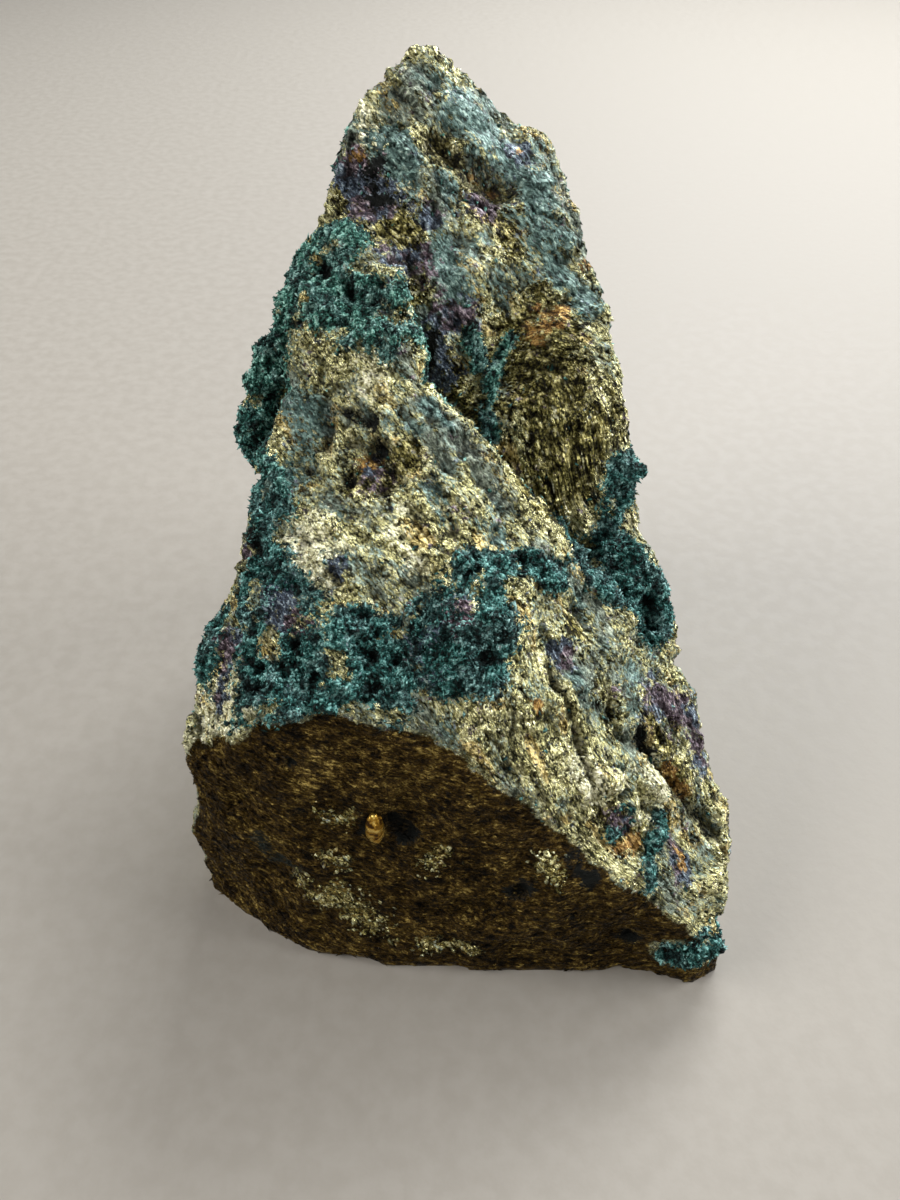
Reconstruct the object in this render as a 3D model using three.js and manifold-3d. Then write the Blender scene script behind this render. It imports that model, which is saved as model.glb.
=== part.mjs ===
// A hand specimen of chalcopyrite with a malachite crust: one lump of ore, broken on every side.
// Millimetres, +Z up. +Y runs from the dark broken front face towards the tall back, +X to the right.
// The lump is built from convex blocks, one for each mass between fracture planes. They are joined,
// the gaps between them are cut, and the whole skin is then broken up and weathered.
import * as THREE from "three";
import { ConvexGeometry } from "three/addons/geometries/ConvexGeometry.js";
import { TessellateModifier } from "three/addons/modifiers/TessellateModifier.js";
import { ImprovedNoise } from "three/addons/math/ImprovedNoise.js";
import { mergeVertices } from "three/addons/utils/BufferGeometryUtils.js";
import Module from "manifold-3d";

const wasm = await Module();
wasm.setup();

// Driving dimensions.
const FACET = 3.5; // longest edge of the broken skin
const SWELL = { size: 11, depth: 1.1 }; // broad hollows and swellings of the fracture faces
const CHIP = { size: 3.4, depth: 0.55 }; // small chips and steps
const FOOT_FADE = 4; // height over which the skin calms down to the flat foot

// Height of the foot, the flat fracture that the lump rests on.
const FOOT = 0;

// A convex block through named corners.
function block(corners) {
  const points = Object.values(corners).map((c) => new THREE.Vector3(...c));
  return solidOf(new ConvexGeometry(points));
}

// A three.js geometry as a solid that can be joined and cut.
function solidOf(geometry) {
  geometry.deleteAttribute("normal");
  geometry.deleteAttribute("uv");
  const merged = mergeVertices(geometry, 1e-4);
  return new wasm.Manifold(
    new wasm.Mesh({
      numProp: 3,
      vertProperties: merged.attributes.position.array,
      triVerts: new Uint32Array(merged.index.array),
    }),
  );
}

// The lower, nearer mass. Its front is the dark fresh fracture, its long top face slopes up to the back.
function frontBlock() {
  return block({
    footFrontLeft: [-25, -21.6, FOOT],
    footFrontMiddle: [-12.2, -28.8, FOOT],
    footFrontRight: [22, -30, FOOT],
    footRight: [25, -22, FOOT],
    footBackRight: [22, 8, FOOT],
    footBackLeft: [-22, 10, FOOT],
    footLeft: [-25, -10, FOOT],
    browLeft: [-23.5, -22, 22],
    browLeftPeak: [-17.8, -21.6, 26.4],
    browPeak: [-10.3, -21.3, 28],
    browMiddle: [1.5, -22, 25],
    browStep: [5.5, -25.2, 21],
    browRight: [15, -29, 12.5],
    browEnd: [19, -29.5, 10],
    rightFoot: [24.2, -24, 8.5],
    rightLow: [24.2, -19, 11],
    rightMiddle: [22.8, -15, 15],
    rightHigh: [21.9, -11.5, 19],
    saddle: [1.5, -14, 33.5],
    leftLow: [-21, -17, 26],
    leftMiddle: [-19.2, -10, 32],
    leftHigh: [-16.6, -3, 39],
    leftTop: [-15, 3.5, 43],
    ridgeTop: [-2.7, 2, 43.8],
    ridgeMiddle: [3.2, -3, 38.7],
    ridgeLow: [7.5, -6, 34.5],
    ridgeFoot: [12.5, -6.5, 29],
    hiddenLeft: [-15, 12, 34],
    hiddenRight: [8, 6, 20],
  });
}

// The crusted slope that joins the front mass to the tall one on the left.
function slopeBlock() {
  return block({
    top: [-11.5, 18.2, 53.2],
    topRight: [-7.4, 17.6, 52],
    edge: [-5.4, 10, 48.6],
    footRight: [-3.1, 2.6, 43.4],
    foot: [-7, 4.4, 44.9],
    footLeft: [-15, 3.9, 43],
    left: [-17.3, 11, 44.3],
    hiddenLeft: [-17, 12, 30],
    hiddenFront: [-14, 4, 30],
    hiddenRight: [-4, 6, 30],
  });
}

// The tall mass behind, which ends in the peak.
function peakBlock() {
  return block({
    footLeft: [-22, 8, FOOT],
    footBackLeft: [-15, 24, FOOT],
    footBackRight: [6, 26, FOOT],
    footRight: [19, 16, FOOT],
    footFront: [23, -4, FOOT],
    peak: [-4.8, 28.5, 61.9],
    peakEnd: [-2.6, 28.8, 62],
    peakLeft: [-8, 25.2, 60.2],
    browLeft: [-10.2, 22.6, 58.5],
    cheekLeft: [-11.2, 18.2, 53.3],
    slopeLeft: [-13.8, 16, 48.8],
    slopeLeftFoot: [-17, 12, 44],
    peakRight: [0, 28.3, 60.4],
    shoulderRight: [5.2, 28, 57.3],
    shoulderCorner: [8.2, 27.8, 55.8],
    edgeHigh: [10.3, 19.6, 51.8],
    edgeUpper: [11.8, 15.4, 48.8],
    edgeMiddle: [13.5, 10.9, 44.8],
    edgeLower: [15.2, 6.1, 38.8],
    edgeLow: [15.8, 1.2, 32.6],
    edgeFoot: [16.5, -2, 28],
    faceFoot: [9, -1, 31],
    backPeak: [-3, 31, 57],
    backRight: [8, 30, 40],
    backLeft: [-16, 25, 30],
    sideLeft: [-20, 12, 26],
  });
}

// The knob that stands out of the tall mass's right edge.
function rightKnob() {
  return block({
    top: [14, 4.5, 37],
    outerHigh: [16.4, 3, 35.8],
    outer: [17.2, 1.9, 34.2],
    outerLow: [16.6, 0.6, 32.2],
    bottom: [13, 0, 30],
    rootHigh: [10, 4, 36],
    rootLow: [9, 2, 28],
  });
}

// The crusted shelf on the right, between the foot of the ridge and the right side.
function rightShelf() {
  return block({
    ridgeFoot: [11, -6.2, 29.5],
    back: [16.8, 0.3, 30.5],
    rightHigh: [17.6, -1.8, 28.8],
    right: [19, -4.5, 25.6],
    rightLow: [20.3, -9, 21.5],
    front: [17.5, -12, 22],
    hiddenLeft: [6, -4, 20],
    hiddenBack: [14, 4, 20],
    hiddenFoot: [20, -6, 12],
  });
}

// The hollow in the shelf, open to the front and above.
function shelfHollow() {
  return block({
    mouthLeft: [15.2, -7.2, 26.5],
    mouthRight: [18.8, -7.6, 24.6],
    mouthFront: [17.3, -9.6, 23.4],
    mouthBack: [17.2, -5.3, 27],
    floorLeft: [15.6, -6.2, 22.5],
    floorRight: [17.3, -6.6, 21.6],
    floorFront: [16.3, -7.6, 21.8],
  });
}

// The flake that stands off the left side behind a crevice.
function leftFlake() {
  return block({
    top: [-19, 8.9, 43],
    topInner: [-15.6, 10.9, 44.2],
    outerHigh: [-20, 6.8, 38],
    outerLow: [-20.7, 6, 36],
    tip: [-19.4, 4.5, 33],
    inner: [-17.5, 5, 35],
    root: [-13, 14, 28],
    rootLow: [-19, 12, 20],
    rootBack: [-18, 15, 34],
  });
}

// The crevice between the flake and the front mass.
function crevice() {
  return block({
    topLeft: [-16.4, 10, 46],
    topRight: [-15.3, 9.4, 46],
    bottomLeft: [-19.4, 2.6, 32],
    bottomRight: [-17.4, 1.2, 32],
    frontLeft: [-18.6, 0, 40],
    frontRight: [-16.6, 0, 41],
    deepTop: [-15.2, 13, 40],
    deepBottom: [-17, 10, 30],
  });
}

// The low lump at the right end of the front face.
function cornerLump() {
  return block({
    footFront: [21.5, -31, FOOT],
    footRight: [24.6, -30, FOOT],
    footBack: [24.5, -24, FOOT],
    footLeft: [14, -29, FOOT],
    topFront: [20.5, -30.2, 5],
    topRight: [22.5, -28.5, 6],
    topBack: [22, -25, 7],
    topLeft: [15, -28, 5],
  });
}

// The low shoulder that stands out of the back.
function backShoulder() {
  return block({
    footLeft: [-13, 24, FOOT],
    footBack: [-1, 29.5, FOOT],
    footRight: [12, 26, FOOT],
    topRight: [11, 27.5, 15],
    topBack: [0, 30.8, 21],
    topLeft: [-9, 27.8, 17],
    hiddenTop: [0, 20, 24],
    hiddenLeft: [-8, 18, 5],
    hiddenRight: [10, 18, 5],
  });
}

// The scoop broken out of the right side.
function rightScoop() {
  return block({
    outsideHighFront: [27, 2, 22],
    outsideHighBack: [25, 16, 20],
    outsideLowFront: [27, 3, 7],
    outsideLowBack: [25, 17, 8],
    insideHighFront: [18.6, 6, 18],
    insideHighBack: [16.6, 12, 16],
    insideLowFront: [20, 7, 10],
    insideLowBack: [18, 12, 9],
  });
}

// The step broken out of the left side of the tall mass.
function leftStep() {
  return block({
    outsideHighFront: [-26, 13, 42],
    outsideHighBack: [-22, 27, 40],
    outsideLowFront: [-28, 12, 18],
    outsideLowBack: [-26, 26, 14],
    insideHighFront: [-15.6, 17, 38],
    insideHighBack: [-13.4, 22, 38],
    insideLowFront: [-18.6, 14.5, 20],
    insideLowBack: [-16, 21, 18],
  });
}

// Noise of several octaves, about -1 to 1, at a point in units of the largest feature.
const perlin = new ImprovedNoise();
function fractal(x, y, z, octaves) {
  let sum = 0;
  let weight = 1;
  for (let octave = 0; octave < octaves; octave++) {
    const scale = 2 ** octave;
    sum += weight * perlin.noise(x * scale, y * scale, z * scale + 7 * octave);
    weight *= 0.5;
  }
  return sum;
}

// Moves a point of the skin as fracture and weathering did. The foot stays flat.
const AXIS_SEEDS = [11.3, 47.9, 83.1];
function weather(point) {
  const calm = THREE.MathUtils.smoothstep(point.z, FOOT, FOOT_FADE);
  const shift = [SWELL, CHIP].reduce(
    (total, layer) => {
      const [x, y, z] = point.toArray().map((c) => c / layer.size);
      AXIS_SEEDS.forEach((seed, axis) => {
        total[axis] += layer.depth * fractal(x + seed, y - seed, z + seed, 2);
      });
      return total;
    },
    [0, 0, 0],
  );
  point.x += shift[0];
  point.y += shift[1];
  point.z += shift[2] * calm;
}

// The skin of a solid in facets no longer than FACET, weathered.
function brokenSkin(solid) {
  const mesh = solid.getMesh();
  const geometry = new THREE.BufferGeometry();
  geometry.setAttribute("position", new THREE.BufferAttribute(mesh.vertProperties, 3));
  geometry.setIndex(new THREE.BufferAttribute(mesh.triVerts, 1));
  geometry.computeVertexNormals();
  const facets = new TessellateModifier(FACET, 12).modify(geometry);
  facets.deleteAttribute("normal");
  const skin = mergeVertices(facets, 1e-4);
  const positions = skin.attributes.position;
  const point = new THREE.Vector3();
  for (let i = 0; i < positions.count; i++) {
    weather(point.fromBufferAttribute(positions, i));
    positions.setXYZ(i, point.x, point.y, point.z);
  }
  return skin;
}

const masses = [slopeBlock, peakBlock, backShoulder, rightKnob, rightShelf, cornerLump, leftFlake];
const gaps = [crevice, shelfHollow, rightScoop, leftStep];
const joined = masses.reduce((lump, mass) => lump.add(mass()), frontBlock());
const lump = gaps.reduce((left, gap) => left.subtract(gap()), joined);
const skin = brokenSkin(lump);
skin.computeBoundingBox();
const middle = skin.boundingBox.getCenter(new THREE.Vector3());
skin.translate(-middle.x, -middle.y, -FOOT);
skin.computeVertexNormals();

const specimen = new THREE.Mesh(
  skin,
  new THREE.MeshStandardMaterial({ color: 0x8a7a45, roughness: 0.55, metalness: 0.5, flatShading: true }),
);
specimen.name = "specimen";

const part = new THREE.Group();
part.add(specimen);
export default part;
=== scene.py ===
"""A hand specimen of chalcopyrite with a malachite crust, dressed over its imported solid.

The ore body is the solid's own surface, remeshed and broken up into ledges, facets and pits. On it sit
tens of thousands of small closed grains: metallic chalcopyrite crystals and matt malachite crumbs. Which
kind of surface is where comes from zones, which are lists of bands with ragged borders.
Lengths in this script are millimetres until a mesh is made. Places are shares of the solid's box.
"""
import math

import bmesh
import bpy
import numpy as np
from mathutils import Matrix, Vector


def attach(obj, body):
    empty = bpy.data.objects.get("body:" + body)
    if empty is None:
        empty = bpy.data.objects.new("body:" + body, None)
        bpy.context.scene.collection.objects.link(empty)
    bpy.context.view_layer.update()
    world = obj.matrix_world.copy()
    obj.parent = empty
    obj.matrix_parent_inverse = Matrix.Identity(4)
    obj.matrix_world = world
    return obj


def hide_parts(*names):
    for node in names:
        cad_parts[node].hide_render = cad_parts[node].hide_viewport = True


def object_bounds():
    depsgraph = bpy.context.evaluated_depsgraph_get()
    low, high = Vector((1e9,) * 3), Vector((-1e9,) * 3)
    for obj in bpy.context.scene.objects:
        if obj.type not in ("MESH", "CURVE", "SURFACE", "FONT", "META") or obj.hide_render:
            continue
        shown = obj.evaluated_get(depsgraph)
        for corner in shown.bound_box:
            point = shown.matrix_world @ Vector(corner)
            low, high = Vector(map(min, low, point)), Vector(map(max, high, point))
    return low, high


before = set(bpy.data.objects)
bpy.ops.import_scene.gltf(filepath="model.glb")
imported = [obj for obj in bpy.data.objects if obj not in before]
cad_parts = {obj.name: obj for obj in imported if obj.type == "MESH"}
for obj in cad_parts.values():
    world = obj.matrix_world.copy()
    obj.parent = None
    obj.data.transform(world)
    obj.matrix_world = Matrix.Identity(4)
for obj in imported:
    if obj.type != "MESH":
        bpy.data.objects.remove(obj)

MM = 0.001
CAD_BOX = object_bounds()
LOW, HIGH = (np.array(corner) / MM for corner in CAD_BOX)
SPAN = HIGH - LOW
SEED = 41
# The numbers that the body and the grains keep at each vertex, for the materials to read.
KINDS = ("crust", "film", "bright", "rust", "tarnish", "amber", "teal", "front", "glitter", "shaded_pits",
         "veil", "low")


# ---------------------------------------------------------------- noise


def dice(i, j, k, seed):
    """A fixed random number from 0 to 1 for each whole-number cell."""
    h = i * 374761393 + j * 668265263 + k * 1440662683 + seed * 1274126177
    h = (h ^ (h >> 13)) * 1103515245 & 0x7FFFFFFF
    h = (h ^ (h >> 15)) * 1274126177 & 0x7FFFFFFF
    return ((h ^ (h >> 16)) & 0xFFFFFF) / 0xFFFFFF


def smoothstep(low, high, x):
    t = np.clip((x - low) / (high - low), 0.0, 1.0)
    return t * t * (3.0 - 2.0 * t)


def noise(points, size, seed, octaves=3):
    """Smooth noise from about -1 to 1, whose largest lumps are about size across."""
    total = np.zeros(len(points))
    weight, weights = 1.0, 0.0
    for octave in range(octaves):
        q = points / size * 2.0**octave + 0.37 * octave
        cell = np.floor(q).astype(np.int64)
        f = q - cell
        f = f * f * (3.0 - 2.0 * f)
        value = 0.0
        for corner in np.ndindex(2, 2, 2):
            share = np.prod(np.where(corner, f, 1.0 - f), axis=1)
            value = value + share * dice(*(cell + corner).T, seed + octave)
        total += weight * (2.0 * value - 1.0)
        weights += weight
        weight *= 0.5
    return total / weights * 1.6


def cells(points, size, seed):
    """Breaks space into cells about size across.

    Gives the distance to the cell's middle, how much farther off the next cell's middle is (0 on the
    border), the way from the cell's middle, and three random numbers of the cell.
    """
    q = points / size
    home = np.floor(q).astype(np.int64)
    near = np.full(len(q), 9.0)
    second = np.full(len(q), 9.0)
    way = np.zeros_like(q)
    owner = home.copy()
    for step in np.ndindex(3, 3, 3):
        cell = home + np.array(step) - 1
        middle = cell + np.stack([dice(*cell.T, seed + axis) for axis in range(3)], axis=1)
        offset = q - middle
        distance = np.linalg.norm(offset, axis=1)
        closer = distance < near
        second = np.where(closer, near, np.minimum(second, distance))
        near = np.where(closer, distance, near)
        way[closer] = offset[closer]
        owner[closer] = cell[closer]
    luck = np.stack([dice(*owner.T, seed + 11 + axis) for axis in range(3)], axis=1)
    return near * size, (second - near) * size, way * size, luck


# ---------------------------------------------------------------- places and zones


def place(across, back, up):
    """A point in millimetres from shares of the solid's box: to the right, to the back and up."""
    return LOW + SPAN * np.array((across, back, up))


def distance_to(points, stops):
    """Each point's distance to a line through places, or to the one place."""
    stops = [place(*stop) for stop in stops]
    if len(stops) == 1:
        return np.linalg.norm(points - stops[0], axis=1)
    best = np.full(len(points), np.inf)
    for start, end in zip(stops, stops[1:]):
        way = end - start
        t = np.clip((points - start) @ way / (way @ way), 0.0, 1.0)
        best = np.minimum(best, np.linalg.norm(points - start - t[:, None] * way, axis=1))
    return best


def nearness(points, bands):
    """1 on the line of a band (reach in mm, then its places), 0 at its reach and less farther off."""
    best = np.full(len(points), -9.0)
    for reach, *stops in bands:
        best = np.maximum(best, 1.0 - distance_to(points, stops) / reach)
    return best


ZONE_BORDER = 0.06  # the nearness at which a zone's border runs
ZONE_TEAR = 0.75  # how much nearness the noise adds or takes there
OUT_OF_REACH = -2.0  # the nearness below which noise adds nothing


def zone(points, bands, seed, grain=3.0, edge=0.28):
    """1 inside any of the bands, 0 outside. Noise about grain mm across tears the border."""
    near = nearness(points, bands)
    torn = ZONE_TEAR * noise(points, grain, SEED + seed, 5)
    return smoothstep(ZONE_BORDER - edge, ZONE_BORDER + edge, near + torn * (near > OUT_OF_REACH))


# Malachite: up the slope to the tall mass, along the brow over the front face, in the recess behind the
# ridge, on the shelf at the right, and in thin veins.
CRUST = [
    (3.4, (0.10, 0.60, 0.56), (0.13, 0.63, 0.65), (0.18, 0.68, 0.73), (0.27, 0.72, 0.80)),
    (3.2, (0.22, 0.69, 0.76), (0.29, 0.64, 0.76), (0.36, 0.62, 0.76)),
    (4.3, (0.14, 0.23, 0.45), (0.25, 0.22, 0.47), (0.40, 0.21, 0.47), (0.51, 0.25, 0.50)),
    (2.3, (0.13, 0.50, 0.62), (0.15, 0.42, 0.58), (0.17, 0.36, 0.56), (0.18, 0.30, 0.52)),
    (0.9, (0.51, 0.67, 0.70), (0.53, 0.65, 0.66)),
    (0.55, (0.59, 0.66, 0.70), (0.56, 0.64, 0.65), (0.54, 0.60, 0.62), (0.56, 0.57, 0.58)),
    (1.6, (0.51, 0.31, 0.55), (0.58, 0.33, 0.55), (0.66, 0.34, 0.51)),
    (3.2, (0.70, 0.42, 0.49), (0.78, 0.42, 0.45), (0.85, 0.39, 0.41)),
    (1.9, (0.77, 0.47, 0.48), (0.78, 0.50, 0.51), (0.81, 0.54, 0.55)),
    (0.7, (0.84, 0.14, 0.24), (0.82, 0.09, 0.22), (0.81, 0.05, 0.20)),
    (0.9, (0.77, 0.12, 0.27), (0.75, 0.10, 0.26)),
    (2.0, (0.89, 0.02, 0.08), (0.95, 0.03, 0.06)),
]
# Openings in it where gold shows.
OPENINGS = [
    (1.0, (0.19, 0.24, 0.47), (0.21, 0.29, 0.51)),
    (0.7, (0.29, 0.23, 0.48), (0.32, 0.20, 0.46)),
    (0.8, (0.36, 0.17, 0.43), (0.26, 0.16, 0.43)),
    (2.0, (0.09, 0.17, 0.38), (0.11, 0.21, 0.42)),
    (0.7, (0.11, 0.24, 0.45), (0.12, 0.30, 0.50)),
]
# Dull grey-green film: on the peak, in a diagonal band down the tall mass, and along the ridge.
FILM = [
    (4.2, (0.44, 0.92, 0.95), (0.53, 0.92, 0.93), (0.60, 0.83, 0.85), (0.67, 0.74, 0.77)),
    (3.0, (0.45, 0.69, 0.74), (0.48, 0.72, 0.78), (0.54, 0.69, 0.74)),
    (0.9, (0.45, 0.51, 0.68), (0.57, 0.40, 0.59), (0.64, 0.36, 0.53), (0.73, 0.35, 0.44)),
    (0.7, (0.39, 0.49, 0.67), (0.48, 0.44, 0.63)),
    (0.8, (0.44, 0.51, 0.68), (0.50, 0.47, 0.66)),
    (0.8, (0.45, 0.40, 0.62), (0.47, 0.37, 0.59)),
    (2.8, (0.34, 0.86, 0.91), (0.40, 0.80, 0.86)),
    (2.0, (0.43, 0.76, 0.82), (0.46, 0.80, 0.86)),
    (1.4, (0.20, 0.55, 0.66), (0.24, 0.50, 0.65), (0.19, 0.42, 0.60)),
    (1.8, (0.29, 0.84, 0.91)),
    (1.6, (0.31, 0.52, 0.68)),
    (2.4, (0.85, 0.31, 0.36)),
    (1.8, (0.70, 0.27, 0.44), (0.74, 0.23, 0.38), (0.79, 0.22, 0.35)),
    (1.4, (0.82, 0.30, 0.37), (0.85, 0.27, 0.34)),
    (1.0, (0.15, 0.10, 0.24), (0.17, 0.10, 0.20), (0.21, 0.09, 0.18)),
]
# Where the film is tinted teal.
TEAL = [
    (2.0, (0.50, 0.90, 0.93), (0.60, 0.83, 0.86), (0.66, 0.76, 0.79), (0.70, 0.70, 0.74)),
    (1.3, (0.44, 0.84, 0.89), (0.50, 0.79, 0.85)),
    (0.8, (0.49, 0.37, 0.59), (0.55, 0.36, 0.57), (0.60, 0.35, 0.54)),
    (1.6, (0.46, 0.72, 0.79), (0.50, 0.68, 0.73)),
    (1.8, (0.37, 0.86, 0.91), (0.40, 0.80, 0.86)),
    (1.4, (0.20, 0.55, 0.66), (0.24, 0.50, 0.65), (0.19, 0.42, 0.60)),
    (0.5, (0.44, 0.51, 0.68), (0.50, 0.47, 0.66)),
    (0.8, (0.45, 0.40, 0.62), (0.47, 0.37, 0.59)),
]
# Silvery, almost white gold; its whiteness is partly a painted highlight where the gold faces the light.
BRIGHT = [
    (2.0, (0.23, 0.36, 0.57), (0.27, 0.31, 0.55)),
    (1.6, (0.34, 0.58, 0.72), (0.34, 0.54, 0.70)),
    (3.0, (0.05, 0.16, 0.37), (0.12, 0.20, 0.42)),
    (0.6, (0.40, 0.80, 0.86)),
    (1.0, (0.32, 0.89, 0.95), (0.34, 0.85, 0.91)),
    (1.0, (0.70, 0.75, 0.79), (0.72, 0.72, 0.77)),
    (1.0, (0.39, 0.36, 0.58), (0.42, 0.32, 0.56)),
    (0.8, (0.40, 0.38, 0.60)),
    (0.8, (0.46, 0.38, 0.60)),
    (0.9, (0.41, 0.68, 0.75), (0.42, 0.62, 0.75)),
    (1.7, (0.75, 0.15, 0.31)),
    (2.1, (0.83, 0.17, 0.27)),
    (1.3, (0.69, 0.15, 0.35), (0.73, 0.13, 0.31)),
]
# Yellow gold that no film covers: along the brow and on the right face.
BARE = [
    (2.4, (0.56, 0.19, 0.43), (0.63, 0.14, 0.38), (0.68, 0.12, 0.33)),
    (1.7, (0.49, 0.15, 0.40), (0.56, 0.12, 0.36), (0.64, 0.10, 0.30), (0.70, 0.09, 0.26)),
    (2.2, (0.76, 0.15, 0.31), (0.82, 0.17, 0.27)),
    (2.6, (0.89, 0.12, 0.20), (0.95, 0.11, 0.15)),
]
# Amber gold, darker in part as painted shade: in the trough under the peak and on the facet behind the
# ridge.
AMBER = [
    (2.0, (0.46, 0.85, 0.89), (0.52, 0.84, 0.87), (0.58, 0.82, 0.85)),
    (1.2, (0.57, 0.78, 0.82), (0.59, 0.75, 0.79)),
    (4.4, (0.64, 0.66, 0.70), (0.70, 0.57, 0.62), (0.66, 0.50, 0.55)),
    (2.6, (0.33, 0.79, 0.86), (0.38, 0.75, 0.83)),
    (1.2, (0.41, 0.68, 0.75), (0.42, 0.62, 0.75)),
    (1.6, (0.70, 0.28, 0.46), (0.76, 0.22, 0.38)),
    (1.6, (0.33, 0.42, 0.61), (0.40, 0.45, 0.63)),
    (1.1, (0.62, 0.18, 0.42)),
    (1.2, (0.83, 0.25, 0.34), (0.86, 0.22, 0.29), (0.89, 0.19, 0.24)),
    (1.3, (0.74, 0.12, 0.30), (0.78, 0.10, 0.24)),
    (1.6, (0.47, 0.64, 0.67), (0.49, 0.62, 0.64), (0.52, 0.60, 0.61)),
]
# Orange and brown rust.
RUST = [
    (1.5, (0.63, 0.66, 0.70), (0.67, 0.67, 0.72)),
    (0.5, (0.50, 0.845, 0.875), (0.57, 0.825, 0.855)),
    (0.5, (0.62, 0.19, 0.42)),
    (0.9, (0.40, 0.64, 0.78)),
    (0.7, (0.73, 0.75, 0.77)),
    (0.6, (0.61, 0.88, 0.89)),
    (0.8, (0.31, 0.84, 0.89)),
    (1.1, (0.77, 0.09, 0.25), (0.79, 0.10, 0.24)),
    (1.2, (0.34, 0.45, 0.62)),
    (0.8, (0.86, 0.20, 0.27), (0.90, 0.18, 0.23)),
    (0.6, (0.87, 0.11, 0.22), (0.88, 0.09, 0.19)),
]
# Purple and blue tarnish.
TARNISH = [
    (2.2, (0.30, 0.82, 0.87), (0.33, 0.79, 0.85)),
    (2.0, (0.38, 0.70, 0.79), (0.42, 0.71, 0.79)),
    (1.4, (0.44, 0.65, 0.69), (0.46, 0.64, 0.65)),
    (1.4, (0.46, 0.67, 0.72), (0.52, 0.68, 0.72)),
    (0.8, (0.77, 0.25, 0.38)),
    (1.2, (0.44, 0.77, 0.83)),
    (1.3, (0.40, 0.57, 0.73)),
    (2.5, (0.85, 0.27, 0.35), (0.92, 0.27, 0.29), (0.94, 0.23, 0.24)),
    (1.6, (0.20, 0.29, 0.51), (0.22, 0.27, 0.49)),
    (1.2, (0.45, 0.21, 0.45)),
    (1.0, (0.12, 0.26, 0.47), (0.11, 0.20, 0.41)),
    (1.6, (0.36, 0.44, 0.62)),
    (1.2, (0.14, 0.36, 0.54)),
    (1.1, (0.30, 0.32, 0.55)),
    (1.2, (0.66, 0.26, 0.45)),
    (1.3, (0.61, 0.88, 0.88)),
    (1.4, (0.54, 0.79, 0.84)),
    (0.9, (0.77, 0.11, 0.27)),
    (0.9, (0.87, 0.12, 0.23), (0.88, 0.08, 0.18)),
    (1.3, (0.42, 0.24, 0.48), (0.49, 0.27, 0.51)),
]
# Where the ore's grain is steep: the right face and the facet behind the ridge.
STREAKED = [
    (6.5, (0.60, 0.22, 0.42), (0.74, 0.16, 0.34), (0.90, 0.16, 0.22)),
    (6.0, (0.88, 0.27, 0.32), (0.92, 0.22, 0.22)),
    (5.5, (0.62, 0.55, 0.57), (0.70, 0.59, 0.63)),
]
STEEP = np.array((0.36, -0.58, -0.73))  # the way of the grain there
SLANT = np.array((0.66, -0.50, -0.56))  # its way everywhere else
DRAWN_OUT = 0.60  # how much of a grain's length the textures take away, so that they come out long
DRAWN_FROM = (0.5, 0.3, 0.45)  # the place that they are drawn out from
FIBRE_ACROSS, FIBRE_UP = 0.45, 1.15  # on the fresh fracture the textures are scaled by these instead
# The upper border of the fresh fracture in front: (across, up).
BROW = np.array([
    (0.00, 0.31), (0.05, 0.36), (0.17, 0.425), (0.29, 0.435), (0.47, 0.40), (0.56, 0.35),
    (0.64, 0.295), (0.71, 0.25), (0.80, 0.20), (0.88, 0.15), (0.93, 0.08), (1.00, 0.02),
])
# Glittering patches in the fresh fracture.
GLITTER = [
    (2.0, (0.27, 0.07, 0.14), (0.31, 0.07, 0.12), (0.34, 0.06, 0.09)),
    (0.9, (0.21, 0.08, 0.16), (0.24, 0.07, 0.14)),
    (1.1, (0.27, 0.10, 0.29), (0.31, 0.10, 0.29)),
    (0.9, (0.44, 0.03, 0.06), (0.52, 0.03, 0.06)),
    (1.2, (0.45, 0.07, 0.22), (0.46, 0.08, 0.24)),
    (1.2, (0.64, 0.06, 0.24), (0.66, 0.06, 0.22)),
    (0.8, (0.26, 0.09, 0.22), (0.30, 0.08, 0.21)),
]
# Painted shade over the pits in the fresh fracture and elsewhere: there the colour goes near-black.
SHADED_PITS = [
    (0.9, (0.38, 0.10, 0.28), (0.41, 0.09, 0.26)),
    (0.9, (0.59, 0.05, 0.19), (0.61, 0.05, 0.20)),
    (0.5, (0.69, 0.03, 0.16)),
    (1.0, (0.80, 0.03, 0.09)),
    (0.5, (0.22, 0.13, 0.38)),
    (0.4, (0.23, 0.11, 0.30)),
    (0.9, (0.68, 0.07, 0.25), (0.71, 0.05, 0.22)),
    (0.7, (0.42, 0.08, 0.18)),
    (1.0, (0.36, 0.79, 0.84), (0.34, 0.81, 0.87)),
    (0.7, (0.35, 0.83, 0.88)),
    (0.7, (0.42, 0.76, 0.82)),
    (0.6, (0.29, 0.52, 0.66), (0.35, 0.49, 0.66)),
    (0.7, (0.36, 0.46, 0.64)),
    (0.7, (0.37, 0.40, 0.61)),
    (0.6, (0.31, 0.43, 0.61)),
    (0.8, (0.82, 0.22, 0.33), (0.84, 0.20, 0.30)),
    (0.7, (0.43, 0.64, 0.66), (0.45, 0.66, 0.70)),
    (0.7, (0.52, 0.67, 0.71)),
    (0.45, (0.335, 0.10, 0.29), (0.335, 0.10, 0.25)),
    (0.8, (0.80, 0.47, 0.49), (0.78, 0.43, 0.46)),
    (0.7, (0.84, 0.41, 0.43)),
    (0.6, (0.14, 0.42, 0.57), (0.15, 0.37, 0.55)),
    (0.9, (0.15, 0.60, 0.62), (0.14, 0.60, 0.58), (0.12, 0.59, 0.54)),
]


FRONT_DEPTH = 0.16  # how far back the fresh fracture reaches, as a share of the box
TO_CAMERA = np.array((0.0, -0.71, 0.70))


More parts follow.
